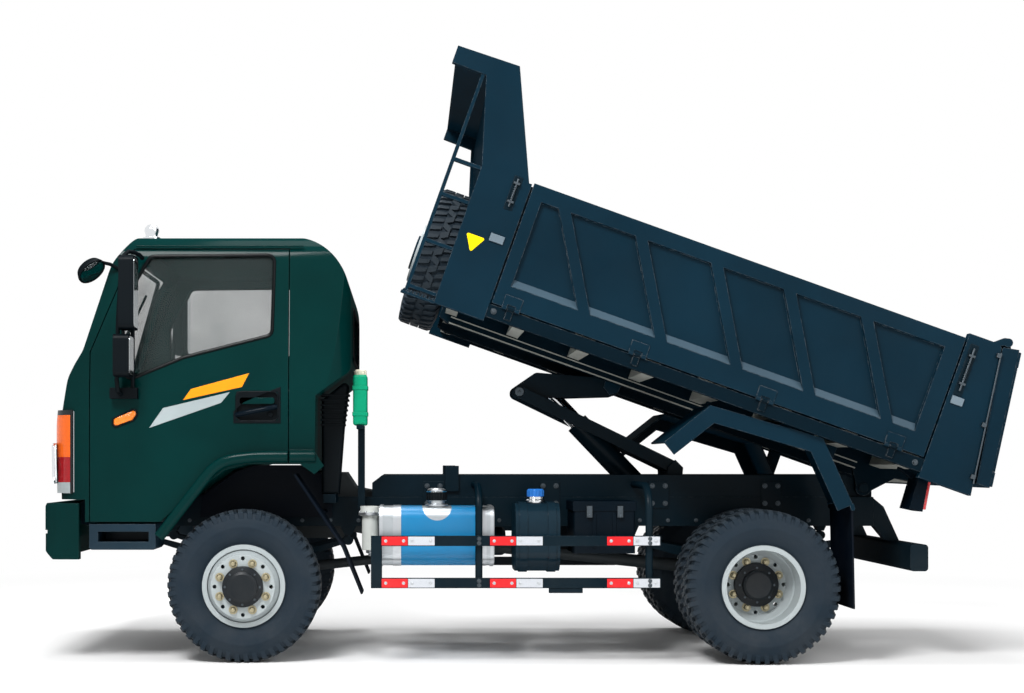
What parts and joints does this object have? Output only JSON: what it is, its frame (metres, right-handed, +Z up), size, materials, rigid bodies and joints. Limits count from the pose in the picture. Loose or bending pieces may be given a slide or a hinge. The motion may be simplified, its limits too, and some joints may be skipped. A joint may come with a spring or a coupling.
{
  "type": "four-wheel-drive tipper truck",
  "caption": "Light forward-control tipper truck with tilting cab, steered front wheels, twin rear wheels and a hoisted load bed with drop gates",
  "frame": {"origin": "middle of the bounding box in X and Y, on the ground", "axes": "+X rearwards along the truck, +Y to the truck's right, +Z up"},
  "size_m": [5.3446, 2.325, 3.3747],
  "materials": {
    "cab_paint": "gloss",
    "bed_paint": "satin",
    "frame_paint": "satin",
    "step_paint": "satin",
    "tyre_rubber": "matte",
    "wheel_silver": "satin",
    "flap_rubber": "matte",
    "window_glass": "clear",
    "trim_plastic": "matte",
    "seat_cloth": "woven",
    "lamp_lens": "clear",
    "fuel_tank_metal": "brushed, blue film",
    "black_metal": "semi-gloss",
    "filter_white": "gloss",
    "bottle_plastic": "translucent",
    "engine_metal": "cast",
    "rod_chrome": "polished"
  },
  "bodies": {
    "chassis": {"frame_rails": "frame_paint", "frame_crossmembers": "frame_paint", "subframe": "frame_paint", "front_axle": "frame_paint", "rear_axle": "frame_paint", "leaf_springs": "frame_paint", "engine": "engine_metal", "driveline": "engine_metal", "fuel_tank": "fuel_tank_metal", "oil_tank": "black_metal", "lockers": "black_metal", "air_tanks": "black_metal", "fuel_filter": "filter_white", "coolant_bottle": "bottle_plastic", "air_intake": "trim_plastic", "side_guards": "frame_paint", "front_mudguards": "flap_rubber", "front_bumper": "cab_paint", "cab_steps": "step_paint", "rear_bumper": "frame_paint"},
    "cab": {"cab_shell": "cab_paint", "cab_glass": "window_glass", "dashboard": "trim_plastic", "seats": "seat_cloth", "steering_wheel": "trim_plastic", "headlamps": "lamp_lens", "grille": "trim_plastic"},
    "door_l": {"door_left": "cab_paint", "door_glass_left": "window_glass", "mirror_left": "trim_plastic"},
    "door_r": {"door_right": "cab_paint", "door_glass_right": "window_glass", "mirror_right": "trim_plastic"},
    "steer_l": {"knuckle_left": "frame_paint"},
    "steer_r": {"knuckle_right": "frame_paint"},
    "wheel_fl": {"front_tyre_left": "tyre_rubber", "front_wheel_left": "wheel_silver"},
    "wheel_fr": {"front_tyre_right": "tyre_rubber", "front_wheel_right": "wheel_silver"},
    "wheels_rl": {"rear_tyres_left": "tyre_rubber", "rear_wheels_left": "wheel_silver"},
    "wheels_rr": {"rear_tyres_right": "tyre_rubber", "rear_wheels_right": "wheel_silver"},
    "bed": {"bed_beams": "frame_paint", "bed_bearers": "frame_paint", "bed_floor": "bed_paint", "bed_front": "bed_paint", "bed_rear_posts": "bed_paint", "spare_tyre": "tyre_rubber", "spare_rim": "wheel_silver", "bed_mudguards": "bed_paint", "tail_lamps": "lamp_lens"},
    "rear_gate": {"tailgate": "bed_paint"},
    "gate_l": {"side_gate_left": "bed_paint"},
    "gate_r": {"side_gate_right": "bed_paint"},
    "flaps": {"mud_flaps": "flap_rubber"},
    "lever": {"hoist_lever": "frame_paint"},
    "link": {"pull_rod": "frame_paint"},
    "ram_tube": {"ram_barrel": "frame_paint"},
    "ram_piston": {"ram_rod": "rod_chrome"}
  },
  "joints": [
    {"name": "steer_left", "type": "hinge", "parent": "chassis", "child": "steer_l", "pos_m": [-1.56031, -0.7, 0.425], "axis": [0, 0, 1], "range_deg": [-32, 32]},
    {"name": "steer_right", "type": "hinge", "parent": "chassis", "child": "steer_r", "pos_m": [-1.56031, 0.7, 0.425], "axis": [0, 0, 1], "range_deg": [-32, 32]},
    {"name": "spin_front_left", "type": "hinge", "parent": "steer_l", "child": "wheel_fl", "pos_m": [-1.56031, -0.82, 0.425], "axis": [0, 1, 0], "continuous": true},
    {"name": "spin_front_right", "type": "hinge", "parent": "steer_r", "child": "wheel_fr", "pos_m": [-1.56031, 0.82, 0.425], "axis": [0, 1, 0], "continuous": true},
    {"name": "spin_rear_left", "type": "hinge", "parent": "chassis", "child": "wheels_rl", "pos_m": [1.29969, -0.78, 0.425], "axis": [0, 1, 0], "continuous": true},
    {"name": "spin_rear_right", "type": "hinge", "parent": "chassis", "child": "wheels_rr", "pos_m": [1.29969, 0.78, 0.425], "axis": [0, 1, 0], "continuous": true},
    {"name": "cab_tilt", "type": "hinge", "parent": "chassis", "child": "cab", "pos_m": [-2.54531, 0, 0.945], "axis": [0, -1, 0], "range_deg": [0, 45]},
    {"name": "door_left_open", "type": "hinge", "parent": "cab", "child": "door_l", "pos_m": [-2.39931, -0.951, 1.5], "axis": [0, 0, -1], "range_deg": [0, 65]},
    {"name": "door_right_open", "type": "hinge", "parent": "cab", "child": "door_r", "pos_m": [-2.39931, 0.951, 1.5], "axis": [0, 0, 1], "range_deg": [0, 65]},
    {"name": "bed_tip", "type": "hinge", "parent": "chassis", "child": "bed", "pos_m": [2.02069, 0, 0.96], "axis": [0, 1, 0], "range_deg": [-19.7, 28.3]},
    {"name": "tailgate_swing", "type": "hinge", "parent": "bed", "child": "rear_gate", "pos_m": [2.6118, 0, 1.75953], "axis": [0, -1, 0], "range_deg": [0, 75]},
    {"name": "side_gate_left_drop", "type": "hinge", "parent": "bed", "child": "gate_l", "pos_m": [0.97876, -1.094, 1.55346], "axis": [0.9415, 0, -0.3371], "range_deg": [0, 170]},
    {"name": "side_gate_right_drop", "type": "hinge", "parent": "bed", "child": "gate_r", "pos_m": [0.97876, 1.094, 1.55346], "axis": [-0.9415, 0, 0.3371], "range_deg": [0, 170]},
    {"name": "flaps_hang", "type": "hinge", "parent": "bed", "child": "flaps", "pos_m": [1.77569, 0, 0.858], "axis": [0, 1, 0], "range_deg": [-28.3, 19.7]},
    {"name": "lever_swing", "type": "hinge", "parent": "bed", "child": "lever", "pos_m": [0.57324, 0, 1.56005], "axis": [0, 1, 0], "range_deg": [-41.06, 28.59]},
    {"name": "link_swing", "type": "hinge", "parent": "chassis", "child": "link", "pos_m": [0.94569, 0, 1.079], "axis": [0, 1, 0], "range_deg": [-26.1, 37.5]},
    {"name": "ram_swing", "type": "hinge", "parent": "chassis", "child": "ram_tube", "pos_m": [0.81969, 0, 0.885], "axis": [0, 1, 0], "range_deg": [-24.82, 35.66]},
    {"name": "ram_extend", "type": "slide", "parent": "ram_tube", "child": "ram_piston", "axis": [-0.6894, 0, 0.7244], "range_m": [-0.17236, 0.24761]}
  ],
  "couplings": [
    {"joint": "steer_right", "follows": "steer_left", "ratio": 1},
    {"joint": "flaps_hang", "follows": "bed_tip", "ratio": -1},
    {"joint": "lever_swing", "follows": "bed_tip", "ratio": -1.451},
    {"joint": "link_swing", "follows": "bed_tip", "ratio": 1.325},
    {"joint": "ram_swing", "follows": "bed_tip", "ratio": 1.26},
    {"joint": "ram_extend", "follows": "bed_tip", "m_per_rad": 0.5013}
  ]
}
